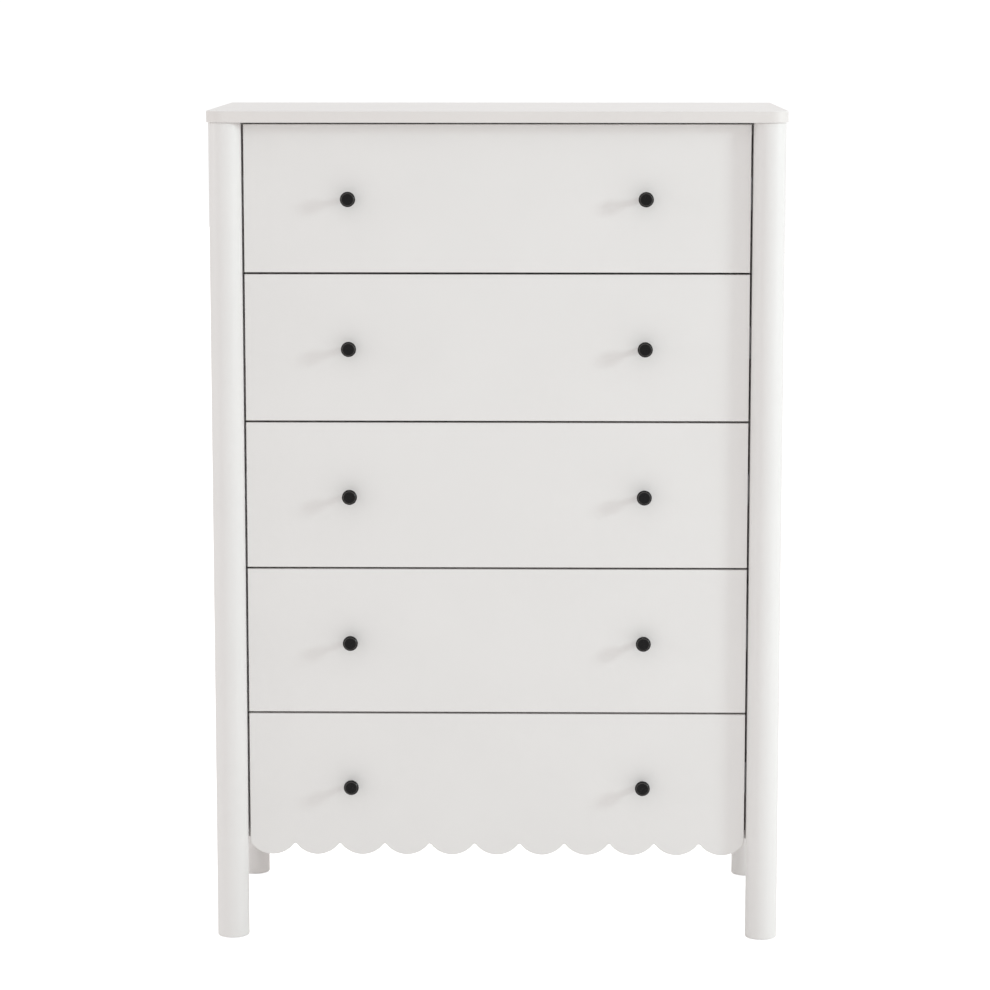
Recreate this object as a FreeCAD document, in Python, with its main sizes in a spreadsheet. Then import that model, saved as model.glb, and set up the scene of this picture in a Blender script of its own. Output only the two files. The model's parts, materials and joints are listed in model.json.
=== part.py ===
import FreeCAD, Part
import os
import Sketcher
from FreeCAD import Rotation, Vector

# Tall chest of drawers: a slab top on four round posts, panels tongued into the posts,
# and five drawers on three-member ball-bearing runners. The lowest front ends in scallops.
# Frame: +X to the chest's right as seen from the front, front at -Y, +Z up.
# The origin is on the floor, under the middle of the top slab.

doc = FreeCAD.newDocument("tall_chest")
sheet = doc.addObject("Spreadsheet::Sheet", "dims")

driving = {
    "overall_width": 800,
    "overall_depth": 400,
    "overall_height": 1168,
    "slab_thickness": 16,
    "slab_overhang": 2.5,
    "slab_edge_radius": 1.2,
    "post_diameter": 45,
    "panel_thickness": 16,
    "panel_bottom": 138,
    "tongue_thickness": 8,
    "tongue_depth": 9.5,
    "back_thickness": 5,
    "back_groove": 9,
    "floor_panel_thickness": 12,
    "rail_thickness": 18,
    "rail_width": 60,
    "glide_diameter": 32,
    "glide_stand": 1.5,
    "glide_stem_diameter": 5,
    "glide_stem_length": 14,
    "drawer_count": 5,
    "front_bottom": 118,
    "front_gap": 2.8,
    "side_gap": 2.7,
    "front_thickness": 16,
    "front_edge_radius": 1.2,
    "lobe_count": 11,
    "lobe_radius": 37.6,
    "notch_radius": 2.7,
    "knob_spacing": 410,
    "knob_diameter": 21,
    "knob_projection": 24,
    "knob_head": 6.5,
    "knob_neck_diameter": 9,
    "knob_chamfer": 2,
    "knob_bore_depth": 12,
    "box_thickness": 12,
    "box_height": 148,
    "box_lift": 34,
    "box_depth": 310,
    "box_bottom_lift": 10,
    "box_bottom_thickness": 5,
    "box_groove": 6,
    "runner_thickness": 12.7,
    "runner_height": 45,
    "runner_length": 300,
    "runner_inset": 8,
    "runner_sheet": 1.2,
    "runner_nesting": 4.8,
    "runner_clearance": 2.4,
    "runner_hole_inset": 20,
    "screw_diameter": 4,
    "screw_length": 14,
    "screw_head_diameter": 7.5,
    "screw_head_height": 0.8,
    "screw_skin": 2,
    "dowel_diameter": 8,
    "dowel_in_front": 10,
    "dowel_in_side": 20,
    "dowel_inset": 30,
    "bracket_spacing": 400,
    "bracket_width": 40,
    "bracket_height": 40,
    "bracket_depth": 20,
    "bracket_sheet": 2,
    "bracket_hole_diameter": 6,
    "bracket_drop": 14,
    "bracket_upper_screw": 10,
    "bracket_lower_screw": 28,
    "drill_clearance": 0.4,
}
for row, (alias, value) in enumerate(driving.items(), start=1):
    sheet.set(f"A{row}", alias)
    sheet.set(f"B{row}", str(value))
    sheet.setAlias(f"B{row}", alias)
doc.recompute()

# Positions worked out from the driving dimensions, as expressions for setExpression.
half_width = "(dims.overall_width / 2)"
half_depth = "(dims.overall_depth / 2)"
post_radius = "(dims.post_diameter / 2)"
post_x = f"({half_width} - dims.slab_overhang - {post_radius})"
post_y = f"({half_depth} - dims.slab_overhang - {post_radius})"
inner_x = f"({post_x} - {post_radius})"
shoulder_y = f"({post_y} - {post_radius})"
slab_z = "(dims.overall_height - dims.slab_thickness)"
panel_height = f"({slab_z} - dims.panel_bottom)"
tongue_x = f"({inner_x} + (dims.panel_thickness - dims.tongue_thickness) / 2)"
tongue_y = f"({shoulder_y} + dims.tongue_depth)"
back_y = f"({post_y} - dims.back_thickness / 2)"
back_x = f"({inner_x} + dims.back_groove)"
rail_z = f"({slab_z} - dims.rail_thickness)"
rear_rail_y = f"({back_y} - dims.rail_thickness)"
rear_rail_z = f"({slab_z} - dims.rail_width)"
drawer_pitch = f"(({slab_z} - dims.front_bottom) / dims.drawer_count)"
front_height = f"({drawer_pitch} - dims.front_gap)"
front_half = f"({inner_x} - dims.side_gap)"
front_rear_y = f"(dims.front_thickness - {post_y})"
lobe_pitch = f"(2 * {front_half} / dims.lobe_count)"
lobe_height = f"(dims.lobe_radius - sqrt(dims.lobe_radius ^ 2 - ({lobe_pitch} / 2) ^ 2))"
box_outer_x = f"({inner_x} - dims.runner_thickness)"
box_inner_x = f"({box_outer_x} - dims.box_thickness)"
box_rear_y = f"({front_rear_y} + dims.box_depth)"
box_back_y = f"({box_rear_y} - dims.box_thickness)"
bottom_half = f"({box_inner_x} + dims.box_groove)"
runner_front_y = f"({front_rear_y} + dims.runner_inset)"
runner_rear_y = f"({runner_front_y} + dims.runner_length)"
runner_lift = "(dims.box_lift + dims.box_height / 2)"
screw_radius = "(dims.screw_diameter / 2)"
bracket_top = f"({slab_z} - dims.bracket_drop)"
bracket_y = f"({back_y} + dims.back_thickness)"

turn_to = {
    "+X": Rotation(Vector(0, 1, 0), 90),
    "-X": Rotation(Vector(0, 1, 0), -90),
    "+Y": Rotation(Vector(1, 0, 0), -90),
    "-Y": Rotation(Vector(1, 0, 0), 90),
    "+Z": Rotation(),
}
sides = {"left": -1, "right": 1}
drawers = range(driving["drawer_count"])
bracket_screws = ("dims.bracket_upper_screw", "dims.bracket_lower_screw")
touching = 1e-4
parts = []


def number(text):
    return float(sheet.evalExpression(text))


def bind(thing, sizes):
    for name, text in sizes.items():
        thing.setExpression(name, str(text))


def place(thing, x, y, z, turn=None):
    if turn:
        thing.Placement.Rotation = turn
    bind(thing, {"Placement.Base.x": x, "Placement.Base.y": y, "Placement.Base.z": z})


def box(name, length, width, height, x, y, z):
    """A block from its low corner (x, y, z)."""
    block = doc.addObject("Part::Box", name)
    bind(block, {"Length": length, "Width": width, "Height": height})
    place(block, x, y, z)
    return block


def mirrored_box(name, side, inner, outer, width, height, y, z):
    """A block between two distances from the middle plane, on the left or the right."""
    low = inner if side > 0 else f"-{outer}"
    return box(name, f"{outer} - {inner}", width, height, low, y, z)


def rod(name, radius, length, x, y, z, along):
    pin = doc.addObject("Part::Cylinder", name)
    bind(pin, {"Radius": radius, "Height": length})
    place(pin, x, y, z, turn_to[along])
    return pin


def screw(name, length, x, y, z, along):
    """A flat-headed screw whose head's underside is at (x, y, z) and whose shank runs along."""
    shank = rod(f"{name}_shank", screw_radius, length, x, y, z, along)
    backward = along.translate(str.maketrans("+-", "-+"))
    head = rod(f"{name}_head", "dims.screw_head_diameter / 2", "dims.screw_head_height", x, y, z, backward)
    whole = doc.addObject("Part::Fuse", name)
    whole.Base = shank
    whole.Tool = head
    return whole


def gather(name, members, kind="Part::Compound"):
    group = doc.addObject(kind, name)
    if kind == "Part::Compound":
        group.Links = members
    else:
        group.Shapes = members
    return group


def cut(name, stock, tools):
    result = doc.addObject("Part::Cut", name)
    result.Base = stock
    result.Tool = gather(f"{name}_tools", tools)
    return result


def keep(thing, label):
    """Marks an object as a finished sub-part; its label is its file's name."""
    thing.Label = label
    parts.append(thing)


# Sketches

def plane(body, role):
    return next(f for f in body.Origin.OriginFeatures if f.Role == role)


def new_sketch(body, name, role):
    sketch = body.newObject("Sketcher::SketchObject", name)
    sketch.AttachmentSupport = [(plane(body, role), "")]
    sketch.MapMode = "FlatFace"
    return sketch


def pin_point(sketch, geometry, point, x, y):
    for kind, axis, text in (("DistanceX", -2, x), ("DistanceY", -1, y)):
        value = number(text)
        if abs(value) < touching:
            sketch.addConstraint(Sketcher.Constraint("PointOnObject", geometry, point, axis))
            continue
        ends = (-1, 1, geometry, point) if value > 0 else (geometry, point, -1, 1)
        index = sketch.addConstraint(Sketcher.Constraint(kind, *ends, abs(value)))
        sketch.setExpression(f"Constraints[{index}]", text if value > 0 else f"-({text})")


def outline(sketch, points):
    """A closed chain of straight lines through the points, each pinned by expressions."""
    corners = [Vector(number(x), number(y), 0) for x, y in points]
    first = sketch.GeometryCount
    count = len(corners)
    for i in range(count):
        sketch.addGeometry(Part.LineSegment(corners[i], corners[(i + 1) % count]))
    for i in range(count):
        after = first + (i + 1) % count
        sketch.addConstraint(Sketcher.Constraint("Coincident", first + i, 2, after, 1))
    for i, (x, y) in enumerate(points):
        pin_point(sketch, first + i, 1, x, y)


def circle(sketch, x, y, radius):
    centre = Vector(number(x), number(y), 0)
    index = sketch.addGeometry(Part.Circle(centre, Vector(0, 0, 1), number(radius)))
    pin_point(sketch, index, 3, x, y)
    size = sketch.addConstraint(Sketcher.Constraint("Radius", index, number(radius)))
    sketch.setExpression(f"Constraints[{size}]", radius)


def pad(body, name, sketch, length):
    feature = body.newObject("PartDesign::Pad", name)
    feature.Profile = sketch
    bind(feature, {"Length": length})
    return feature


def pocket(body, name, sketch, depth=None, reverse=True, midplane=False):
    """A cut to a depth, or right through; reverse cuts to the side that the pads grow to."""
    feature = body.newObject("PartDesign::Pocket", name)
    feature.Profile = sketch
    feature.Reversed = reverse
    feature.Midplane = midplane
    if depth:
        bind(feature, {"Length": depth})
    else:
        feature.Type = "ThroughAll"
    return feature


def linear(body, name, originals, role, length, count):
    pattern = body.newObject("PartDesign::LinearPattern", name)
    if originals:
        pattern.Originals = originals
    pattern.Direction = (plane(body, role), [""])
    bind(pattern, {"Length": length, "Occurrences": count})
    return pattern


def edges_where(feature, test):
    doc.recompute()
    return [f"Edge{i}" for i, edge in enumerate(feature.Shape.Edges, start=1) if test(edge)]


def fillet(body, name, base, test, radius):
    feature = body.newObject("PartDesign::Fillet", name)
    feature.Base = (base, edges_where(base, test))
    bind(feature, {"Radius": radius})
    return feature


def lies_at(edge, axis, level):
    return all(abs(getattr(v.Point, axis) - level) < touching for v in edge.Vertexes)


def runs_along(edge, axis):
    ends = [v.Point for v in edge.Vertexes]
    if len(ends) != 2:
        return False
    return all(abs(getattr(ends[0], o) - getattr(ends[1], o)) < touching for o in {"x", "y", "z"} - {axis})


# Case

def top_slab():
    """Square at the back, rounded over the front posts with the same centre as the posts."""
    body = doc.addObject("PartDesign::Body", "top_slab")
    sketch = new_sketch(body, "slab_outline", "XY_Plane")
    low_x, low_y = f"-{half_width}", f"-{half_depth}"
    outline(sketch, [(low_x, low_y), (half_width, low_y), (half_width, half_depth), (low_x, half_depth)])
    slab = pad(body, "slab_pad", sketch, "dims.slab_thickness")
    front = -number(half_depth)
    corner = fillet(body, "slab_corners", slab, lambda e: runs_along(e, "z") and lies_at(e, "y", front),
                    f"{post_radius} + dims.slab_overhang")
    levels = (0, number("dims.slab_thickness"))
    fillet(body, "slab_edges", corner, lambda e: any(lies_at(e, "z", level) for level in levels),
           "dims.slab_edge_radius")
    place(body, "0", "0", slab_z)
    keep(body, "top_panel")


def post(row, row_sign, side, sign):
    """A round leg from the glide to the slab, grooved for the side panel and, behind, the back."""
    name = f"post_{row}_{side}"
    stock = rod(f"{name}_stock", post_radius, f"{slab_z} - dims.glide_stand", f"{sign} * {post_x}",
                f"{row_sign} * {post_y}", "dims.glide_stand", "+Z")
    groove_low = shoulder_y if row_sign > 0 else f"-{tongue_y}"
    tools = [
        mirrored_box(f"{name}_groove", sign, tongue_x, f"({tongue_x} + dims.tongue_thickness)",
                     "dims.tongue_depth", panel_height, groove_low, "dims.panel_bottom"),
        rod(f"{name}_bore", "dims.glide_stem_diameter / 2", "dims.glide_stem_length",
            f"{sign} * {post_x}", f"{row_sign} * {post_y}", "dims.glide_stand", "+Z"),
    ]
    if row == "rear":
        tools.append(mirrored_box(f"{name}_back_groove", sign, inner_x, back_x, "dims.back_thickness",
                                  panel_height, back_y, "dims.panel_bottom"))
    keep(cut(name, stock, tools), name)


def runner_screw_steps():
    """Distances of a runner's three screws from its front end."""
    inset = "dims.runner_hole_inset"
    return [inset, "dims.runner_length / 2", f"(dims.runner_length - {inset})"]


def runner_screw_places(n):
    return [(f"({runner_front_y} + {step})", runner_z(n)) for step in runner_screw_steps()]


def all_runner_screw_places():
    return [spot for n in drawers for spot in runner_screw_places(n)]


def runner_z(n):
    return f"(dims.front_bottom + {n} * {drawer_pitch} + {runner_lift})"


def side_panel(side, sign):
    name = f"side_panel_{side}"
    outer = f"({inner_x} + dims.panel_thickness)"
    sheet_part = mirrored_box(f"{name}_sheet", sign, inner_x, outer, f"2 * {shoulder_y}", panel_height,
                              f"-{shoulder_y}", "dims.panel_bottom")
    tongue = mirrored_box(f"{name}_tongue", sign, tongue_x, f"({tongue_x} + dims.tongue_thickness)",
                          f"2 * {tongue_y}", panel_height, f"-{tongue_y}", "dims.panel_bottom")
    stock = gather(f"{name}_stock", [sheet_part, tongue], "Part::MultiFuse")
    along = "+X" if sign > 0 else "-X"
    holes = [rod(f"{name}_pilot_{i}", screw_radius, "dims.screw_length", f"{sign} * {inner_x}", y, z, along)
             for i, (y, z) in enumerate(all_runner_screw_places())]
    keep(cut(name, stock, holes), name)


def bracket_screw_places():
    """Two screws in each anti-tip bracket, one above the other."""
    return [(f"{sign} * dims.bracket_spacing / 2", f"({bracket_top} - {drop})")
            for sign in sides.values() for drop in bracket_screws]


def back_holes(name):
    depth = "(dims.screw_length + dims.screw_head_height)"
    return [rod(f"{name}_pilot_{i}", screw_radius, depth, x, bracket_y, z, "-Y")
            for i, (x, z) in enumerate(bracket_screw_places())]


def case_panels():
    back = box("back_sheet", f"2 * {back_x}", "dims.back_thickness", panel_height,
               f"-{back_x}", back_y, "dims.panel_bottom")
    keep(cut("back_panel", back, back_holes("back_panel")), "back_panel")
    keep(box("bottom_panel", f"2 * {inner_x}", f"{shoulder_y} + {back_y}", "dims.floor_panel_thickness",
             f"-{inner_x}", f"-{shoulder_y}", "dims.panel_bottom"), "bottom_panel")
    keep(box("front_top_rail", f"2 * {inner_x}", "dims.rail_width", "dims.rail_thickness",
             f"-{inner_x}", f"-{shoulder_y}", rail_z), "front_top_rail")
    rear = box("rear_rail_stock", f"2 * {inner_x}", "dims.rail_thickness", "dims.rail_width",
               f"-{inner_x}", rear_rail_y, rear_rail_z)
    keep(cut("rear_top_rail", rear, back_holes("rear_top_rail")), "rear_top_rail")


def floor_glides():
    """A flat plastic disc with a stem, pushed into the bottom of each post."""
    glides = []
    for row_sign in (-1, 1):
        for sign in sides.values():
            x, y = f"{sign} * {post_x}", f"{row_sign} * {post_y}"
            name = f"glide_{len(glides)}"
            disc = rod(f"{name}_disc", "dims.glide_diameter / 2", "dims.glide_stand", x, y, "0", "+Z")
            stem = rod(f"{name}_stem", "dims.glide_stem_diameter / 2", "dims.glide_stem_length",
                       x, y, "dims.glide_stand", "+Z")
            glides.append(gather(name, [disc, stem], "Part::MultiFuse"))
    keep(gather("floor_glides", glides), "floor_glides")


def anti_tip_brackets():
    """Two steel angles behind the rear rail, each with a hole for a wall strap."""
    body = doc.addObject("PartDesign::Body", "brackets")
    depth, height, gauge = "dims.bracket_depth", "dims.bracket_height", "dims.bracket_sheet"
    profile = new_sketch(body, "bracket_profile", "YZ_Plane")
    outline(profile, [("0", "0"), (depth, "0"), (depth, gauge), (gauge, gauge), (gauge, height), ("0", height)])
    angle = pad(body, "bracket_pad", profile, "dims.bracket_width")
    middle = "dims.bracket_width / 2"
    strap = new_sketch(body, "strap_hole", "XY_Plane")
    circle(strap, middle, f"({depth} + {gauge}) / 2", "dims.bracket_hole_diameter / 2")
    strap_cut = pocket(body, "strap_cut", strap, gauge)
    bolts = new_sketch(body, "screw_holes", "XZ_Plane")
    for drop in bracket_screws:
        circle(bolts, middle, f"({height} - {drop})", screw_radius)
    bolt_cut = pocket(body, "screw_cut", bolts, gauge, reverse=False)
    body.Tip = linear(body, "bracket_pair", [angle, strap_cut, bolt_cut], "X_Axis", "dims.bracket_spacing", 2)
    place(body, "-(dims.bracket_spacing + dims.bracket_width) / 2", bracket_y, f"{bracket_top} - {height}")
    keep(body, "anti_tip_brackets")


def case_screws():
    web = "dims.runner_sheet"
    screws = []
    for side, sign in sides.items():
        along = "+X" if sign > 0 else "-X"
        for i, (y, z) in enumerate(all_runner_screw_places()):
            screws.append(screw(f"runner_screw_{side}_{i}", f"{web} + dims.screw_length",
                                f"{sign} * ({inner_x} - {web})", y, z, along))
    for i, (x, z) in enumerate(bracket_screw_places()):
        screws.append(screw(f"bracket_screw_{i}", "dims.bracket_sheet + dims.screw_length",
                            x, f"{bracket_y} + dims.bracket_sheet", z, "-Y"))
    keep(gather("case_screws", screws), "case_screws")


# Runners

def channel(sketch, start, reach, half, turned=False):
    """One C section on each side: the web starts at a distance from the side panel."""
    gauge = "-dims.runner_sheet" if turned else "dims.runner_sheet"
    inside = f"({half} - dims.runner_sheet)"
    for sign in (-1, 1):
        def at(inward):
            return f"({sign} * ({inner_x} - ({inward})))"
        web, lip = at(f"{start} + {gauge}"), at(reach)
        outline(sketch, [(at(start), f"-{half}"), (lip, f"-{half}"), (lip, f"-{inside}"), (web, f"-{inside}"),
                         (web, inside), (lip, inside), (lip, half), (at(start), half)])


def runner_member(label, start, reach, half, z, turned=False, rows=1, drilled=True):
    """A pair of steel channels, left and right, with holes through their webs."""
    body = doc.addObject("PartDesign::Body", f"{label}_body")
    section = new_sketch(body, f"{label}_section", "XZ_Plane")
    channel(section, start, reach, half, turned)
    features = [pad(body, f"{label}_pad", section, "dims.runner_length")]
    if drilled:
        holes = new_sketch(body, f"{label}_holes", "YZ_Plane")
        for step in runner_screw_steps():
            circle(holes, f"-{step}", "0", screw_radius)
        features.append(pocket(body, f"{label}_drill", holes, midplane=True))
    if rows > 1:
        body.Tip = linear(body, f"{label}_rows", features, "Z_Axis", f"{rows - 1} * {drawer_pitch}", rows)
    place(body, "0", runner_rear_y, z)
    keep(body, label)


runner_half = "(dims.runner_height / 2)"
middle_half = f"({runner_half} - dims.runner_nesting)"
inner_half = f"({middle_half} - dims.runner_nesting)"
runner_reach = "(dims.runner_thickness - dims.runner_clearance)"


# Drawers

def drawer_front(n, label):
    body = doc.addObject("PartDesign::Body", f"front_{n}")
    width = f"(2 * {front_half})"
    low = lobe_height if n == 0 else "0"
    face = new_sketch(body, f"front_{n}_outline", "XZ_Plane")
    outline(face, [("0", low), (width, low), (width, front_height), ("0", front_height)])
    last = pad(body, f"front_{n}_pad", face, "dims.front_thickness")
    if n == 0:
        last = scallops(body)
    depth = -number("dims.front_thickness")
    fillet(body, f"front_{n}_edges", last, lambda e: lies_at(e, "y", depth), "dims.front_edge_radius")
    groove = new_sketch(body, f"front_{n}_groove", "XZ_Plane")
    low_x = f"({front_half} - {bottom_half})"
    high_x = f"({front_half} + {bottom_half})"
    groove_z = "(dims.box_lift + dims.box_bottom_lift)"
    groove_top = f"({groove_z} + dims.box_bottom_thickness)"
    outline(groove, [(low_x, groove_z), (high_x, groove_z), (high_x, groove_top), (low_x, groove_top)])
    pocket(body, f"front_{n}_groove_cut", groove, "dims.box_groove")
    dowels = new_sketch(body, f"front_{n}_dowels", "XZ_Plane")
    for x, z in dowel_places():
        circle(dowels, f"({front_half} + {x})", z, "dims.dowel_diameter / 2")
    pocket(body, f"front_{n}_dowel_cut", dowels, "dims.dowel_in_front")
    bolts = new_sketch(body, f"front_{n}_bolts", "XZ_Plane")
    for sign in (-1, 1):
        circle(bolts, f"({front_half} + {sign} * dims.knob_spacing / 2)", f"({front_height} / 2)",
               f"({screw_radius} + dims.drill_clearance)")
    pocket(body, f"front_{n}_bolt_cut", bolts)
    place(body, f"-{front_half}", front_rear_y, base_z(n))
    keep(body, label)


def scallops(body):
    """A row of round lobes along the lower edge, with small rounded notches between them."""
    sketch = new_sketch(body, "lobe_outline", "XZ_Plane")
    radius, reach, rise = (number(t) for t in ("dims.lobe_radius", f"{lobe_pitch} / 2", lobe_height))
    ends = [Vector(0, rise, 0), Vector(2 * reach, rise, 0)]
    arc = sketch.addGeometry(Part.Arc(ends[0], Vector(reach, 0, 0), ends[1]))
    chord = sketch.addGeometry(Part.LineSegment(*ends))
    arc_ends = sorted((1, 2), key=lambda point: sketch.getPoint(arc, point).x)
    for arc_end, chord_end in zip(arc_ends, (1, 2)):
        sketch.addConstraint(Sketcher.Constraint("Coincident", arc, arc_end, chord, chord_end))
    sketch.addConstraint(Sketcher.Constraint("Horizontal", chord))
    sketch.addConstraint(Sketcher.Constraint("PointOnObject", chord, 1, -2))
    pin_point(sketch, arc, 3, f"({lobe_pitch} / 2)", "dims.lobe_radius")
    size = sketch.addConstraint(Sketcher.Constraint("Radius", arc, radius))
    sketch.setExpression(f"Constraints[{size}]", "dims.lobe_radius")
    lobe = pad(body, "lobe_pad", sketch, "dims.front_thickness")
    row = linear(body, "lobe_row", [lobe], "X_Axis", f"2 * {front_half} - {lobe_pitch}", "dims.lobe_count")
    body.Tip = row
    last_x = 2 * number(front_half)

    def between_lobes(edge):
        inside = 1 < edge.Vertexes[0].Point.x < last_x - 1
        return inside and runs_along(edge, "y") and lies_at(edge, "z", rise)

    return fillet(body, "lobe_notches", row, between_lobes, "dims.notch_radius")


def base_z(n):
    return f"(dims.front_bottom + {n} * {drawer_pitch})"


def box_z(n):
    return f"({base_z(n)} + dims.box_lift)"


def dowel_places():
    """Four dowels tie the two sides to the front, seen from the front's lower edge."""
    x = f"({box_inner_x} + dims.box_thickness / 2)"
    heights = ["(dims.box_lift + dims.dowel_inset)", "(dims.box_lift + dims.box_height - dims.dowel_inset)"]
    return [(f"{sign} * {x}", z) for sign in (-1, 1) for z in heights]


def back_screw_heights():
    return ["dims.dowel_inset", "(dims.box_height - dims.dowel_inset)"]


def drawer_side(n, side, sign, label):
    stock = mirrored_box(f"{label}_stock", sign, box_inner_x, box_outer_x, "dims.box_depth",
                         "dims.box_height", front_rear_y, box_z(n))
    groove = mirrored_box(f"{label}_groove", sign, box_inner_x, bottom_half, "dims.box_depth",
                          "dims.box_bottom_thickness", front_rear_y, f"{box_z(n)} + dims.box_bottom_lift")
    tools = [groove]
    for i, (x, z) in enumerate(spot for spot in dowel_places() if spot[0].startswith(f"{sign} ")):
        tools.append(rod(f"{label}_dowel_{i}", "dims.dowel_diameter / 2", "dims.dowel_in_side",
                         x, front_rear_y, f"{base_z(n)} + {z}", "+Y"))
    along = "-X" if sign > 0 else "+X"
    for i, lift in enumerate(back_screw_heights()):
        tools.append(rod(f"{label}_screw_{i}", screw_radius, "dims.box_thickness", f"{sign} * {box_outer_x}",
                         f"{box_back_y} + dims.box_thickness / 2", f"{box_z(n)} + {lift}", along))
    for i, (y, z) in enumerate(runner_screw_places(n)):
        tools.append(rod(f"{label}_runner_{i}", screw_radius, "dims.box_thickness - dims.screw_skin",
                         f"{sign} * {box_outer_x}", y, z, along))
    keep(cut(label, stock, tools), label)


def drawer_back(n, label):
    lift = "(dims.box_bottom_lift + dims.box_bottom_thickness)"
    stock = box(f"{label}_stock", f"2 * {box_inner_x}", "dims.box_thickness", f"dims.box_height - {lift}",
                f"-{box_inner_x}", box_back_y, f"{box_z(n)} + {lift}")
    tools = []
    for side, sign in sides.items():
        along = "-X" if sign > 0 else "+X"
        for i, height in enumerate(back_screw_heights()):
            tools.append(rod(f"{label}_pilot_{side}_{i}", screw_radius, "2 * dims.screw_length",
                             f"{sign} * {box_inner_x}", f"{box_back_y} + dims.box_thickness / 2",
                             f"{box_z(n)} + {height}", along))
    keep(cut(label, stock, tools), label)


def drawer_bottom(n, label):
    keep(box(label, f"2 * {bottom_half}", "dims.box_depth + dims.box_groove", "dims.box_bottom_thickness",
             f"-{bottom_half}", f"{front_rear_y} - dims.box_groove", f"{box_z(n)} + dims.box_bottom_lift"), label)


def knobs(n, label):
    """Two turned knobs: a slender neck under a flat round head with chamfered rims."""
    body = doc.addObject("PartDesign::Body", f"knobs_{n}")
    sketch = new_sketch(body, f"knob_{n}_profile", "XY_Plane")
    neck, head, bore = "(dims.knob_neck_diameter / 2)", "(dims.knob_diameter / 2)", screw_radius
    tip, back = "-dims.knob_projection", "(dims.knob_head - dims.knob_projection)"
    chamfer = "dims.knob_chamfer"
    outline(sketch, [
        (bore, "0"), (neck, "0"), (neck, back), (f"({head} - {chamfer})", back), (head, f"({back} - {chamfer})"),
        (head, f"({tip} + {chamfer})"), (f"({head} - {chamfer})", tip), ("0", tip),
        ("0", "-dims.knob_bore_depth"), (bore, "-dims.knob_bore_depth"),
    ])
    turned = body.newObject("PartDesign::Revolution", f"knob_{n}_turned")
    turned.Profile = sketch
    turned.ReferenceAxis = (sketch, ["V_Axis"])
    turned.Angle = 360
    body.Tip = linear(body, f"knob_{n}_pair", [turned], "X_Axis", "dims.knob_spacing", 2)
    place(body, "-dims.knob_spacing / 2", f"-{post_y}", f"{base_z(n)} + {front_height} / 2")
    keep(body, label)


def drawer_fittings(n, label):
    """Dowels, the back's screws, the runners' screws and the knobs' screws."""
    pieces = []
    for i, (x, z) in enumerate(dowel_places()):
        pieces.append(rod(f"{label}_dowel_{i}", "dims.dowel_diameter / 2",
                          "dims.dowel_in_front + dims.dowel_in_side", x,
                          f"{front_rear_y} - dims.dowel_in_front", f"{base_z(n)} + {z}", "+Y"))
    for side, sign in sides.items():
        along = "-X" if sign > 0 else "+X"
        for i, lift in enumerate(back_screw_heights()):
            pieces.append(screw(f"{label}_back_{side}_{i}", "dims.box_thickness + 2 * dims.screw_length",
                                f"{sign} * {box_outer_x}", f"{box_back_y} + dims.box_thickness / 2",
                                f"{box_z(n)} + {lift}", along))
        for i, (y, z) in enumerate(runner_screw_places(n)):
            pieces.append(screw(f"{label}_runner_{side}_{i}",
                                "dims.runner_sheet + dims.box_thickness - dims.screw_skin",
                                f"{sign} * ({box_outer_x} + dims.runner_sheet)", y, z, along))
        pieces.append(screw(f"{label}_knob_{side}", "dims.front_thickness + dims.knob_bore_depth",
                            f"{sign} * dims.knob_spacing / 2", front_rear_y,
                            f"{base_z(n)} + {front_height} / 2", "-Y"))
    keep(gather(label, pieces), label)


def drawer(n):
    """Drawers are numbered from the top down; n counts pitches up from the lowest."""
    name = f"drawer_{len(drawers) - n}"
    drawer_front(n, f"{name}_front")
    for side, sign in sides.items():
        drawer_side(n, side, sign, f"{name}_side_{side}")
    drawer_back(n, f"{name}_back")
    drawer_bottom(n, f"{name}_bottom")
    knobs(n, f"{name}_knobs")
    runner_member(f"{name}_runner_inner", "dims.runner_thickness", "dims.runner_nesting", inner_half,
                  runner_z(n), turned=True)
    runner_member(f"{name}_runner_middle", "dims.runner_clearance", runner_reach, middle_half,
                  runner_z(n), drilled=False)
    drawer_fittings(n, f"{name}_fittings")


top_slab()
for row, row_sign in (("front", -1), ("rear", 1)):
    for side, sign in sides.items():
        post(row, row_sign, side, sign)
for side, sign in sides.items():
    side_panel(side, sign)
case_panels()
floor_glides()
anti_tip_brackets()
case_screws()
runner_member("case_runners", "0", runner_reach, runner_half, runner_z(0), rows=len(drawers))
for n in drawers:
    drawer(n)

doc.recompute()
broken = [o.Name for o in doc.Objects if {"Invalid", "Error"} & set(o.State)]
if broken:
    raise RuntimeError(f"failed objects: {broken}")
for part in parts:
    if part.Shape.isNull() or not part.Shape.isValid():
        raise RuntimeError(f"bad shape: {part.Label}")

os.makedirs("parts", exist_ok=True)
for part in parts:
    part.Shape.exportStep(os.path.join("parts", f"{part.Label}.step"))
    print(part.Label, len(part.Shape.Solids), "solids", round(part.Shape.Volume), "mm3")
print(len(parts), "parts")
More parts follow.
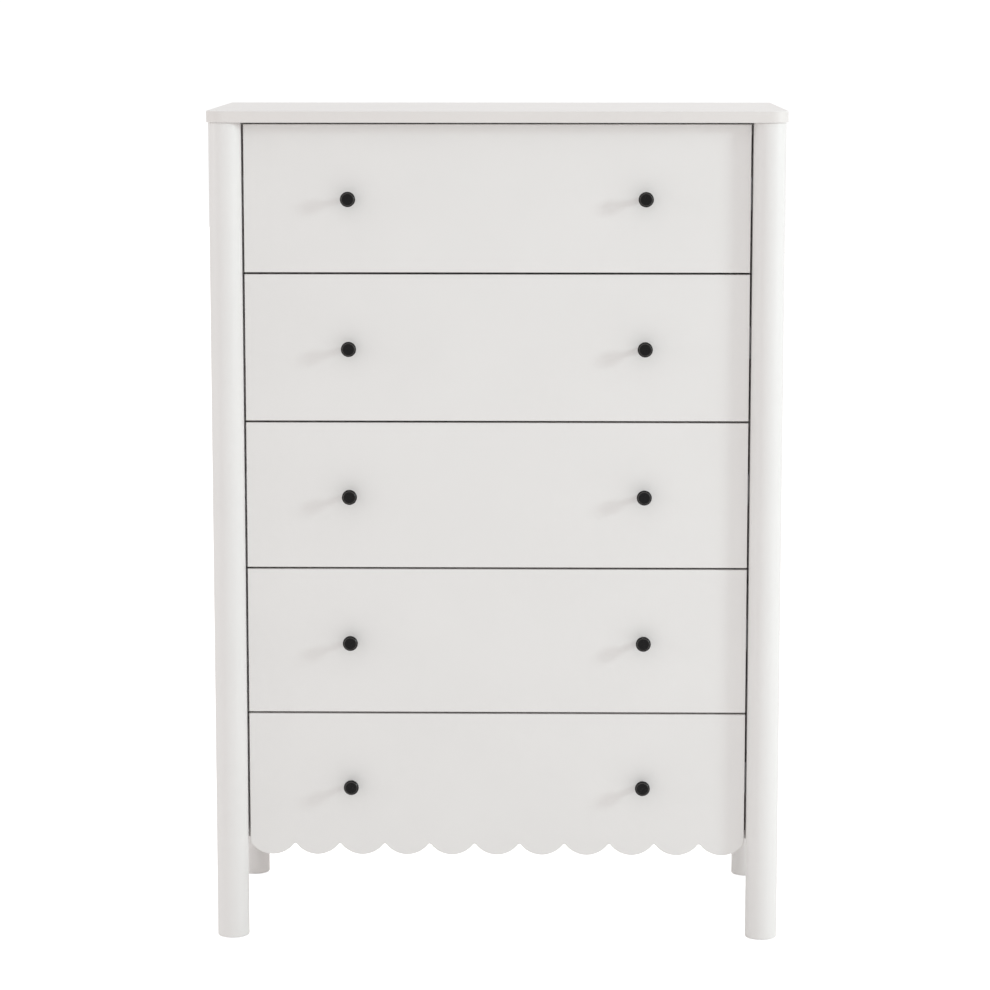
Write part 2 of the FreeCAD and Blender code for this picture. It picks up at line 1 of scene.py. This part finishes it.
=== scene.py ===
import bpy
import json
import math
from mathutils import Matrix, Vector

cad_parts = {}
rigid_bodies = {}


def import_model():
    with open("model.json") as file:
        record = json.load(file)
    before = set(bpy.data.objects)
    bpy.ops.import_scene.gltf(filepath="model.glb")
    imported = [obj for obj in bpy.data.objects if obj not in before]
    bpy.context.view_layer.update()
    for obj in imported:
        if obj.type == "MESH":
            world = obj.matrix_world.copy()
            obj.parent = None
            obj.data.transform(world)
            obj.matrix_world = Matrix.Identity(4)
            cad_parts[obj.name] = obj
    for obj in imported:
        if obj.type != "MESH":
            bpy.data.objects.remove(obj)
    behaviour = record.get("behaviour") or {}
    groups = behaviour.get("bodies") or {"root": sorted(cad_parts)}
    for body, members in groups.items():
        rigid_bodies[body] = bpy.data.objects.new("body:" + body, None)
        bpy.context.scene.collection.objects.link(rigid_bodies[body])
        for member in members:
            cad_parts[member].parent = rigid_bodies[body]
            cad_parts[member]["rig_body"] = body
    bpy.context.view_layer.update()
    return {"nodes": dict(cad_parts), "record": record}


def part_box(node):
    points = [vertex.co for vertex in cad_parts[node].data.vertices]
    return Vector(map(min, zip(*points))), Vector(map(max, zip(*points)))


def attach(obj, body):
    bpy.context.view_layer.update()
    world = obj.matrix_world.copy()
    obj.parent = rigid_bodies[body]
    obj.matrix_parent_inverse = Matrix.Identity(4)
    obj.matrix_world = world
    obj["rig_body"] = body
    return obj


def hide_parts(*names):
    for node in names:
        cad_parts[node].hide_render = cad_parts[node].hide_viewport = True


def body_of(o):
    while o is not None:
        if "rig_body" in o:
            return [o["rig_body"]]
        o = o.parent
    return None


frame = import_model()
print("frame loaded:", len(frame["nodes"]), "nodes")

mm = 0.001
white = (1, 1, 1, 1)
sideSigns = {"left": -1, "right": 1}
drawerCount = 5
drawerNames = [f"drawer_{i}" for i in range(1, drawerCount + 1)]  # counted from the top
noiseRange = {"From Min": 0.3, "From Max": 0.7}  # where nearly all of a noise texture's values lie


def linear(hexColour):  # sRGB hex to linear RGBA
    channels = [int(hexColour[i:i + 2], 16) / 255 for i in (1, 3, 5)]
    return [c / 12.92 if c <= 0.04045 else ((c + 0.055) / 1.055) ** 2.4 for c in channels] + [1]


def perMetre(sizeMm):  # a pattern's scale, from the real size of one of its marks
    return 1 / (sizeMm * mm)


def addNode(tree, kind, inputs=None, links=None, **settings):
    node = tree.nodes.new(kind)
    for name, value in settings.items():
        setattr(node, name, value)
    for name, value in (inputs or {}).items():
        node.inputs[name].default_value = value
    for name, source in (links or {}).items():
        if hasattr(source, "outputs"):  # a node stands for its first output in use
            source = next(socket for socket in source.outputs if not socket.is_unavailable)
        tree.links.new(source, node.inputs[name])
    return node


def newMaterial(name):
    material = bpy.data.materials.new(name)
    material.use_nodes = True
    material.node_tree.nodes.clear()
    return material, material.node_tree


# Polyurethane lacquer sprayed on fibreboard: warm white and satin, with a faint orange peel. Sharp
# edges carry a painted highlight: their colour is mixed towards a lighter white.
lacquerSpec = {"colour": "#ebe8e6", "deeper": "#e9e6e4", "mottleMm": 160, "edge": "#f0eeec",
               "edgeMm": 1, "edgeShare": 0.5, "edgeBend": (0.8, 0.995),
               "roughness": (0.36, 0.46), "hazeMm": 45, "peelMm": 3.2, "peelReliefMm": 0.012,
               "fineMm": 0.9, "fineReliefMm": 0.004, "ior": 1.5}
# A board's routed edge is coloured a shade deeper and duller than its face.
routedEdgeSpec = {**lacquerSpec, "colour": "#e6e1de", "deeper": "#e4dfdc", "edge": "#eae6e3",
                  "roughness": (0.44, 0.54)}


def lacquer(name, spec):
    material, tree = newMaterial(name)
    place = addNode(tree, "ShaderNodeTexCoord").outputs["Object"]  # metres, in the chest's frame
    mottle = addNode(tree, "ShaderNodeTexNoise",
                     {"Scale": perMetre(spec["mottleMm"]), "Detail": 3}, {"Vector": place})
    depth = addNode(tree, "ShaderNodeMapRange", noiseRange, {"Value": mottle})
    body = addNode(tree, "ShaderNodeMix",
                   {"A": linear(spec["colour"]), "B": linear(spec["deeper"])}, {"Factor": depth},
                   data_type="RGBA")
    rounded = addNode(tree, "ShaderNodeBevel", {"Radius": spec["edgeMm"] * mm}, samples=4)
    flat = addNode(tree, "ShaderNodeNewGeometry").outputs["Normal"]
    bend = addNode(tree, "ShaderNodeVectorMath", links={0: rounded, 1: flat},
                   operation="DOT_PRODUCT")
    sharpest, flattest = spec["edgeBend"]  # how far the two normals agree on an edge, on a flat
    # painted highlight: where the bevelled normal parts from the flat one, the colour turns lighter
    paintedEdgeHighlight = addNode(tree, "ShaderNodeMapRange",
                   {"From Min": sharpest, "From Max": flattest, "To Min": spec["edgeShare"],
                    "To Max": 0}, {"Value": bend})
    colour = addNode(tree, "ShaderNodeMix", {"B": linear(spec["edge"])},
                     {"Factor": paintedEdgeHighlight, "A": body}, data_type="RGBA")
    haze = addNode(tree, "ShaderNodeTexNoise",
                   {"Scale": perMetre(spec["hazeMm"]), "Detail": 4}, {"Vector": place})
    glossy, dull = spec["roughness"]
    rough = addNode(tree, "ShaderNodeMapRange", {**noiseRange, "To Min": glossy, "To Max": dull},
                    {"Value": haze})
    peel = addNode(tree, "ShaderNodeTexNoise",
                   {"Scale": perMetre(spec["peelMm"]), "Detail": 1}, {"Vector": place})
    peeled = addNode(tree, "ShaderNodeBump", {"Distance": spec["peelReliefMm"] * mm},
                     {"Height": peel})
    fine = addNode(tree, "ShaderNodeTexNoise", {"Scale": perMetre(spec["fineMm"])},
                   {"Vector": place})
    relief = addNode(tree, "ShaderNodeBump", {"Distance": spec["fineReliefMm"] * mm},
                     {"Height": fine, "Normal": peeled})
    shader = addNode(tree, "ShaderNodeBsdfPrincipled", {"IOR": spec["ior"]},
                     {"Base Color": colour, "Roughness": rough, "Normal": relief})
    addNode(tree, "ShaderNodeOutputMaterial", links={"Surface": shader})
    return material


# Matte black powder coat on a zinc die casting: near black with a sandy grain, and a painted
# highlight, a paler ring round the knob's face. The real grain is about 0.15 mm, too fine to show, and
# is drawn at three times that.
powderSpec = {"colour": "#0a0909", "ringHighlight": "#4e4b49", "ridgeAt": 0.4, "ridgeWidth": 0.035,
              "roughness": (0.22, 0.32), "hazeMm": 3, "grainMm": 0.45, "grainReliefMm": 0.012,
              "ior": 1.32}  # a low one, because a matting agent dulls the coat's face


def powderCoat():
    spec = powderSpec
    material, tree = newMaterial("blackPowderCoat")
    coords = addNode(tree, "ShaderNodeTexCoord")
    place, share = coords.outputs["Object"], coords.outputs["Generated"]  # share is 0 to 1 on a knob
    centred = addNode(tree, "ShaderNodeVectorMath", {1: (-0.5, 0, -0.5)}, {0: share},
                      operation="ADD")
    facing = addNode(tree, "ShaderNodeVectorMath", {1: (1, 0, 1)}, {0: centred},
                     operation="MULTIPLY")
    reach = addNode(tree, "ShaderNodeVectorMath", links={0: facing}, operation="LENGTH")
    offset = addNode(tree, "ShaderNodeMath", {1: spec["ridgeAt"]}, {0: reach},
                     operation="SUBTRACT")
    away = addNode(tree, "ShaderNodeMath", links={0: offset}, operation="ABSOLUTE")
    # painted highlight: a paler ring where the knob's flat face meets its sloped rim
    ringHighlight = addNode(tree, "ShaderNodeMapRange",
                   {"From Min": 0, "From Max": spec["ridgeWidth"], "To Min": 1, "To Max": 0},
                   {"Value": away})
    colour = addNode(tree, "ShaderNodeMix",
                     {"A": linear(spec["colour"]), "B": linear(spec["ringHighlight"])}, {"Factor": ringHighlight},
                     data_type="RGBA")
    haze = addNode(tree, "ShaderNodeTexNoise", {"Scale": perMetre(spec["hazeMm"])},
                   {"Vector": place})
    glossy, dull = spec["roughness"]
    rough = addNode(tree, "ShaderNodeMapRange", {**noiseRange, "To Min": glossy, "To Max": dull},
                    {"Value": haze})
    grain = addNode(tree, "ShaderNodeTexNoise",
                    {"Scale": perMetre(spec["grainMm"]), "Detail": 3, "Roughness": 0.6},
                    {"Vector": place})
    relief = addNode(tree, "ShaderNodeBump", {"Distance": spec["grainReliefMm"] * mm},
                     {"Height": grain})
    shader = addNode(tree, "ShaderNodeBsdfPrincipled", {"IOR": spec["ior"]},
                     {"Base Color": colour, "Roughness": rough, "Normal": relief})
    addNode(tree, "ShaderNodeOutputMaterial", links={"Surface": shader})
    return material


# Bright zinc plate on rolled steel strip: cool grey, with drawn lines along its length and a soft
# cloudy sheen. Real lines lie about 0.2 mm apart, and are drawn coarser so that they show.
zincSpec = {"colour": "#c8cacd", "cloud": "#bbbec1", "cloudMm": 18, "drawnMm": (1.2, 60, 1.2),
            "drawnReliefMm": 0.01, "roughness": (0.26, 0.42), "metallic": 1}


def zincPlate():
    spec = zincSpec
    material, tree = newMaterial("brightZincPlate")
    place = addNode(tree, "ShaderNodeTexCoord").outputs["Object"]
    cloud = addNode(tree, "ShaderNodeTexNoise",
                    {"Scale": perMetre(spec["cloudMm"]), "Detail": 3}, {"Vector": place})
    clouded = addNode(tree, "ShaderNodeMapRange", noiseRange, {"Value": cloud})
    colour = addNode(tree, "ShaderNodeMix",
                     {"A": linear(spec["colour"]), "B": linear(spec["cloud"])},
                     {"Factor": clouded}, data_type="RGBA")
    scaleBack = [perMetre(size) for size in spec["drawnMm"]]
    alongStrip = addNode(tree, "ShaderNodeMapping", {"Scale": scaleBack}, {"Vector": place})
    drawn = addNode(tree, "ShaderNodeTexNoise", {"Scale": 1, "Detail": 3}, {"Vector": alongStrip})
    glossy, dull = spec["roughness"]
    rough = addNode(tree, "ShaderNodeMapRange", {**noiseRange, "To Min": glossy, "To Max": dull},
                    {"Value": drawn})
    relief = addNode(tree, "ShaderNodeBump", {"Distance": spec["drawnReliefMm"] * mm},
                     {"Height": drawn})
    shader = addNode(tree, "ShaderNodeBsdfPrincipled", {"Metallic": spec["metallic"]},
                     {"Base Color": colour, "Roughness": rough, "Normal": relief})
    addNode(tree, "ShaderNodeOutputMaterial", links={"Surface": shader})
    return material


# White melamine paper pressed on particleboard: a little cooler and flatter than the lacquer, with
# a pebbled emboss, drawn a little coarser than the real one so that it shows.
melamineSpec = {"colour": "#e7e4e2", "deeper": "#e1dedb", "mottleMm": 90, "roughness": (0.48, 0.6),
                "pebbleMm": 1.6, "pebbleReliefMm": 0.03, "ior": 1.5}


def melamine():
    spec = melamineSpec
    material, tree = newMaterial("whiteMelamineBoard")
    place = addNode(tree, "ShaderNodeTexCoord").outputs["Object"]
    mottle = addNode(tree, "ShaderNodeTexNoise",
                     {"Scale": perMetre(spec["mottleMm"]), "Detail": 3}, {"Vector": place})
    depth = addNode(tree, "ShaderNodeMapRange", noiseRange, {"Value": mottle})
    colour = addNode(tree, "ShaderNodeMix",
                     {"A": linear(spec["colour"]), "B": linear(spec["deeper"])},
                     {"Factor": depth}, data_type="RGBA")
    glossy, dull = spec["roughness"]
    rough = addNode(tree, "ShaderNodeMapRange", {**noiseRange, "To Min": glossy, "To Max": dull},
                    {"Value": mottle})
    pebble = addNode(tree, "ShaderNodeTexVoronoi", {"Scale": perMetre(spec["pebbleMm"])},
                     {"Vector": place}, feature="SMOOTH_F1")
    relief = addNode(tree, "ShaderNodeBump", {"Distance": spec["pebbleReliefMm"] * mm},
                     {"Height": pebble})
    shader = addNode(tree, "ShaderNodeBsdfPrincipled", {"IOR": spec["ior"]},
                     {"Base Color": colour, "Roughness": rough, "Normal": relief})
    addNode(tree, "ShaderNodeOutputMaterial", links={"Surface": shader})
    return material


# Pressed hardboard with a printed white face: a flat sheen, faint clumps of fibre and the slow
# wave of a thin sheet.
hardboardSpec = {"colour": "#e3e1de", "fibre": "#dad7d3", "fibreMm": 2.4, "fibreReliefMm": 0.03,
                 "waveMm": 220, "waveReliefMm": 0.5, "roughness": 0.62, "ior": 1.48}


def hardboard():
    spec = hardboardSpec
    material, tree = newMaterial("whiteFacedHardboard")
    place = addNode(tree, "ShaderNodeTexCoord").outputs["Object"]
    fibre = addNode(tree, "ShaderNodeTexNoise",
                    {"Scale": perMetre(spec["fibreMm"]), "Detail": 5, "Roughness": 0.65},
                    {"Vector": place})
    clumps = addNode(tree, "ShaderNodeMapRange", noiseRange, {"Value": fibre})
    colour = addNode(tree, "ShaderNodeMix",
                     {"A": linear(spec["colour"]), "B": linear(spec["fibre"])},
                     {"Factor": clumps}, data_type="RGBA")
    wave = addNode(tree, "ShaderNodeTexNoise",
                   {"Scale": perMetre(spec["waveMm"]), "Detail": 1}, {"Vector": place})
    waved = addNode(tree, "ShaderNodeBump", {"Distance": spec["waveReliefMm"] * mm},
                    {"Height": wave})
    relief = addNode(tree, "ShaderNodeBump", {"Distance": spec["fibreReliefMm"] * mm},
                     {"Height": fibre, "Normal": waved})
    shader = addNode(tree, "ShaderNodeBsdfPrincipled",
                     {"IOR": spec["ior"], "Roughness": spec["roughness"]},
                     {"Base Color": colour, "Normal": relief})
    addNode(tree, "ShaderNodeOutputMaterial", links={"Surface": shader})
    return material


# Moulded nylon: pale grey and waxy, with fine marks from the mould, drawn coarser so that they
# show.
nylonSpec = {"colour": "#b9b8b4", "roughness": (0.4, 0.55), "markMm": 0.8, "markReliefMm": 0.02,
             "ior": 1.53}


def nylon():
    spec = nylonSpec
    material, tree = newMaterial("greyMouldedNylon")
    place = addNode(tree, "ShaderNodeTexCoord").outputs["Object"]
    mark = addNode(tree, "ShaderNodeTexNoise",
                   {"Scale": perMetre(spec["markMm"]), "Detail": 3}, {"Vector": place})
    glossy, dull = spec["roughness"]
    rough = addNode(tree, "ShaderNodeMapRange", {**noiseRange, "To Min": glossy, "To Max": dull},
                    {"Value": mark})
    relief = addNode(tree, "ShaderNodeBump", {"Distance": spec["markReliefMm"] * mm},
                     {"Height": mark})
    shader = addNode(tree, "ShaderNodeBsdfPrincipled",
                     {"Base Color": linear(spec["colour"]), "IOR": spec["ior"]},
                     {"Roughness": rough, "Normal": relief})
    addNode(tree, "ShaderNodeOutputMaterial", links={"Surface": shader})
    return material


finishes = {"white_lacquer": lacquer("whiteSatinLacquer", lacquerSpec),
            "black_metal": powderCoat(), "zinc_steel": zincPlate(), "white_board": melamine(),
            "back_board": hardboard(), "glide_plastic": nylon()}
routedEdge = lacquer("whiteLacquerOnRoutedEdge", routedEdgeSpec)
for entry in frame["record"]["subparts"]:
    mesh = frame["nodes"][entry["node"]].data
    mesh.materials.clear()
    mesh.materials.append(finishes[entry["material_slot"]])
print("materials:", len(finishes) + 1)


# Shapes: every replaced piece is a stack of closed rings with a cap at each end.
smoothing = {"sharpDegrees": 40, "faceWeight": 80}


def ringStack(name, rings, node, slotName):
    count = len(rings[0])
    verts = [point for ring in rings for point in ring]
    faces = [list(range(count))[::-1], [(len(rings) - 1) * count + i for i in range(count)]]
    for level in range(len(rings) - 1):
        low, high = level * count, (level + 1) * count
        for i in range(count):
            j = (i + 1) % count
            faces.append([low + i, low + j, high + j, high + i])
    mesh = bpy.data.meshes.new(name)
    mesh.from_pydata(verts, [], faces)
    mesh.polygons.foreach_set("use_smooth", [True] * len(faces))
    mesh.validate()
    mesh.materials.append(finishes[slotName])
    piece = bpy.data.objects.new(name, mesh)
    bpy.context.scene.collection.objects.link(piece)
    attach(piece, body_of(frame["nodes"][node])[0])
    return piece


def smoothByFace(piece, sharpDegrees=smoothing["sharpDegrees"]):
    piece.data.set_sharp_from_angle(angle=math.radians(sharpDegrees))
    weigh = piece.modifiers.new("flatFaces", "WEIGHTED_NORMAL")  # flats stay flat up to their rims
    weigh.keep_sharp = True
    weigh.weight = smoothing["faceWeight"]


def inset(outline, distance):  # an anticlockwise outline moved inwards, with mitred corners
    if distance == 0:
        return list(outline)
    leastSlant = 0.3  # keeps a very sharp corner from running far in
    moved = []
    count = len(outline)
    for i, (x, y) in enumerate(outline):
        lastX, lastY = outline[i - 1]
        nextX, nextY = outline[(i + 1) % count]
        before = Vector((x - lastX, y - lastY)).normalized()
        after = Vector((nextX - x, nextY - y)).normalized()
        inward = Vector((-before.y - after.y, before.x + after.x)).normalized()
        reach = distance / max(inward.dot(Vector((-before.y, before.x))), leastSlant)
        moved.append((x + inward.x * reach, y + inward.y * reach))
    return moved


def rim(radius, steps):  # (inset, depth) pairs round an eased edge, from the face to the side
    angles = [math.pi / 2 * i / steps for i in range(steps + 1)]
    return [(radius * (1 - math.sin(a)), radius * (1 - math.cos(a))) for a in angles]


def arc(centreX, centreY, radius, fromDegrees, toDegrees, steps):
    turn = toDegrees - fromDegrees
    angles = [math.radians(fromDegrees + turn * i / steps) for i in range(steps + 1)]
    return [(centreX + radius * math.cos(a), centreY + radius * math.sin(a)) for a in angles]


# Top slab: square behind, rounded in front round the same centres as the posts.
slabSpec = {"cornerRadius": 0.025, "cornerSteps": 24, "edgeRadius": 0.0012, "edgeSteps": 4,
            "upright": 0.5}


def topSlab():
    spec = slabSpec
    low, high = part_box("top_panel")
    radius, steps = spec["cornerRadius"], spec["cornerSteps"]
    front = low.y + radius
    outline = (arc(low.x + radius, front, radius, 180, 270, steps)
               + arc(high.x - radius, front, radius, 270, 360, steps)
               + [(high.x, high.y), (low.x, high.y)])
    eased = rim(spec["edgeRadius"], spec["edgeSteps"])
    levels = [(d, low.z + t) for d, t in eased] + [(d, high.z - t) for d, t in reversed(eased)]
    rings = [[(x, y, z) for x, y in inset(outline, d)] for d, z in levels]
    piece = ringStack("top_slab", rings, "top_panel", "white_lacquer")
    piece.data.materials.append(routedEdge)
    for face in piece.data.polygons:  # faces nearer upright than level take the routed edge's coat
        face.material_index = int(abs(face.normal.z) < spec["upright"])
    smoothByFace(piece)
    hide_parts("top_panel")


# Posts: plain round legs, eased at both ends. The upper ease leaves a fine joint line under the
# slab.
postSpec = {"sides": 96, "footEase": 0.0012, "topEase": 0.0016, "easeSteps": 3}


def post(row, side):
    spec = postSpec
    node = f"post_{row}_{side}"
    low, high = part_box(node)
    centre, radius = (low + high) / 2, (high.x - low.x) / 2
    levels = [(d, low.z + t) for d, t in rim(spec["footEase"], spec["easeSteps"])]
    levels += [(d, high.z - t) for d, t in reversed(rim(spec["topEase"], spec["easeSteps"]))]
    turns = [2 * math.pi * i / spec["sides"] for i in range(spec["sides"])]
    rings = [[(centre.x + (radius - d) * math.cos(a), centre.y + (radius - d) * math.sin(a), z)
              for a in turns] for d, z in levels]
    piece = ringStack(f"leg_{row}_{side}", rings, node, "white_lacquer")
    smoothByFace(piece)
    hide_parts(node)


# Drawer fronts: flat boards with eased edges. The lowest ends in round lobes with small notches
# between them.
frontSpec = {"edgeRadius": 0.0012, "edgeSteps": 4, "backEase": 0.0004, "lobes": 11,
             "lobeRadius": 0.0376, "notchRadius": 0.0027, "lobeSteps": 18, "notchSteps": 8}


def plainOutline(low, high):
    return [(low.x, low.z), (high.x, low.z), (high.x, high.z), (low.x, high.z)]


def scallopedOutline(low, high):
    spec = frontSpec
    lobes, radius, notch = spec["lobes"], spec["lobeRadius"], spec["notchRadius"]
    pitch = (high.x - low.x) / lobes
    lean = math.degrees(math.asin(pitch / 2 / (radius + notch)))  # where a lobe meets a notch
    end = math.degrees(math.asin(pitch / 2 / radius))  # where an end lobe meets the board's side
    lobeZ = low.z + radius
    notchZ = lobeZ - math.sqrt((radius + notch) ** 2 - (pitch / 2) ** 2)
    points = []
    for i in range(lobes):
        startAt, stopAt = (end if i == 0 else lean), (end if i == lobes - 1 else lean)
        lobeX = low.x + pitch * (i + 0.5)
        points += arc(lobeX, lobeZ, radius, 270 - startAt, 270 + stopAt, spec["lobeSteps"])
        if i < lobes - 1:
            notchX = lobeX + pitch / 2
            between = arc(notchX, notchZ, notch, 90 + lean, 90 - lean, spec["notchSteps"])
            points += between[1:-1]
    return points + [(high.x, high.z), (low.x, high.z)]


def drawerFront(name):
    spec = frontSpec
    node = f"{name}_front"
    low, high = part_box(node)
    outline = (scallopedOutline if name == drawerNames[-1] else plainOutline)(low, high)
    levels = [(d, low.y + t) for d, t in rim(spec["edgeRadius"], spec["edgeSteps"])]
    levels += [(0, high.y - spec["backEase"]), (spec["backEase"], high.y)]
    rings = [[(x, y, z) for x, z in inset(outline, d)] for d, y in levels]
    piece = ringStack(f"{name}_face", rings, node, "white_lacquer")
    smoothByFace(piece)
    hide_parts(node)


# Knobs: turned on a lathe, a slender neck under a flat head with a broad sloped rim.
knobSpec = {"sides": 64, "neckRadius": 0.0045, "footRadius": 0.0056, "headRadius": 0.0105,
            "faceRadius": 0.0083, "headDepth": 0.0065, "slopeDepth": 0.0017, "ease": 0.0004,
            "ringWidth": 0.0005, "sharpDegrees": 60}


def knobPair(name):
    spec = knobSpec
    node = f"{name}_knobs"
    low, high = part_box(node)
    base, tip, centreZ = high.y, low.y, (low.z + high.z) / 2
    foot, neck, head, face = (spec[part + "Radius"] for part in ("foot", "neck", "head", "face"))
    ease, ring = spec["ease"], spec["ringWidth"]
    headBack, slopeBack = tip + spec["headDepth"], tip + spec["slopeDepth"]
    profile = [  # (radius, y) from the drawer's face to the tip
        (foot, base), (foot, base - 2 * ease), (neck + ease, base - 4 * ease),
        (neck, base - 6 * ease), (neck, headBack + 5 * ease), (neck + ease, headBack + 2 * ease),
        (neck + 5 * ease, headBack), (head - 3 * ease, headBack - ease),
        (head - ease, headBack - 3 * ease), (head, headBack - 5 * ease), (head, slopeBack + ease),
        (head - ease / 2, slopeBack), (face + ring, tip + ring * 0.8),
        (face + ring / 3, tip + ring * 0.3), (face - ring / 3, tip + ring * 0.1),
        (face - ring, tip), (face / 2, tip),
    ]
    turns = [2 * math.pi * i / spec["sides"] for i in range(spec["sides"])]
    for side, sign in sideSigns.items():
        centreX = (low.x + head) if sign < 0 else (high.x - head)
        rings = [[(centreX + r * math.cos(a), y, centreZ + r * math.sin(a)) for a in turns]
                 for r, y in reversed(profile)]
        piece = ringStack(f"{name}_knob_{side}", rings, node, "black_metal")
        smoothByFace(piece, spec["sharpDegrees"])
        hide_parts(node)


topSlab()
for row in ("front", "rear"):
    for side in sideSigns:
        post(row, side)
for name in drawerNames:
    drawerFront(name)
    knobPair(name)
print("shapes: slab, posts, fronts and knobs")


# Studio: a white floor and sky, a soft key light from the right, a broad fill from the left and a
# weaker light behind.
studioSpec = {"floorSize": 30, "floorColour": "#f4f2f1", "floorRoughness": 0.8, "floorGlow": 0.8,
              "skyStrength": 0.828, "backdrop": 1.05, "aimAt": (0, 0, 0.6),
              "keyPlace": (4.3, -1.9, 2.1), "keySize": 0.8, "keyPower": 62.8,
              "keyColour": "#eefdff", "fillPlace": (-4.6, -1.15, 1.5), "fillSize": 1.6,
              "fillPower": 14, "fillColour": "#ffffff", "backPlace": (0.8, 3.2, 4.6),
              "backSize": 2.5, "backPower": 22, "backColour": "#fff4f2"}


def areaLight(name):
    facts = ("Size", "Power", "Colour", "Place")
    size, power, colour, place = (studioSpec[name + fact] for fact in facts)
    data = bpy.data.lights.new(name, "AREA")
    data.shape = "DISK"
    data.size = size
    data.energy = power
    data.color = linear(colour)[:3]
    lamp = bpy.data.objects.new(name, data)
    lamp.location = place
    aim = Vector(studioSpec["aimAt"]) - Vector(place)
    lamp.rotation_euler = aim.to_track_quat("-Z", "Y").to_euler()
    bpy.context.scene.collection.objects.link(lamp)


def studioFloor():
    spec = studioSpec
    half = spec["floorSize"] / 2
    corners = [(-half, -half, 0), (half, -half, 0), (half, half, 0), (-half, half, 0)]
    mesh = bpy.data.meshes.new("floor")
    mesh.from_pydata(corners, [], [(0, 1, 2, 3)])
    floor = bpy.data.objects.new("floor", mesh)
    bpy.context.scene.collection.objects.link(floor)
    material, tree = newMaterial("whiteStudioFloor")
    seen = addNode(tree, "ShaderNodeLightPath").outputs["Is Camera Ray"]
    glow = addNode(tree, "ShaderNodeMath", {1: spec["floorGlow"]}, {0: seen}, operation="MULTIPLY")
    shader = addNode(tree, "ShaderNodeBsdfPrincipled",
                     {"Base Color": linear(spec["floorColour"]), "Emission Color": white,
                      "Roughness": spec["floorRoughness"]},
                     {"Emission Strength": glow})  # it glows to the eye, not onto the chest
    addNode(tree, "ShaderNodeOutputMaterial", links={"Surface": shader})
    mesh.materials.append(material)


def studioSky():
    spec = studioSpec
    world = bpy.data.worlds.new("studioSky")
    world.use_nodes = True
    tree = world.node_tree
    tree.nodes.clear()
    seen = addNode(tree, "ShaderNodeLightPath").outputs["Is Camera Ray"]
    sky = addNode(tree, "ShaderNodeBackground", {"Color": white, "Strength": spec["skyStrength"]})
    backdrop = addNode(tree, "ShaderNodeBackground",
                       {"Color": white, "Strength": spec["backdrop"]})
    choice = addNode(tree, "ShaderNodeMixShader", links={"Fac": seen, 1: sky, 2: backdrop})
    addNode(tree, "ShaderNodeOutputWorld", links={"Surface": choice})
    bpy.context.scene.world = world


# Camera: a long lens above the top of the chest, a little to the right, tipped down slightly.
cameraSpec = {"place": (0.0666, -4.767, 1.3134), "tipDown": 0.1468, "turnLeft": 0.0151,
              "lens": 120.88, "sensor": 36}


def camera():
    spec = cameraSpec
    data = bpy.data.cameras.new("camera")
    data.sensor_width = spec["sensor"]
    data.lens = spec["lens"]
    eye = bpy.data.objects.new("camera", data)
    eye.location = spec["place"]
    eye.rotation_euler = (math.pi / 2 - spec["tipDown"], 0, spec["turnLeft"])
    bpy.context.scene.collection.objects.link(eye)
    bpy.context.scene.camera = eye


studioFloor()
studioSky()
for light in ("key", "fill", "back"):
    areaLight(light)
bpy.context.scene.view_settings.view_transform = "Standard"
camera()
print("studio and camera")
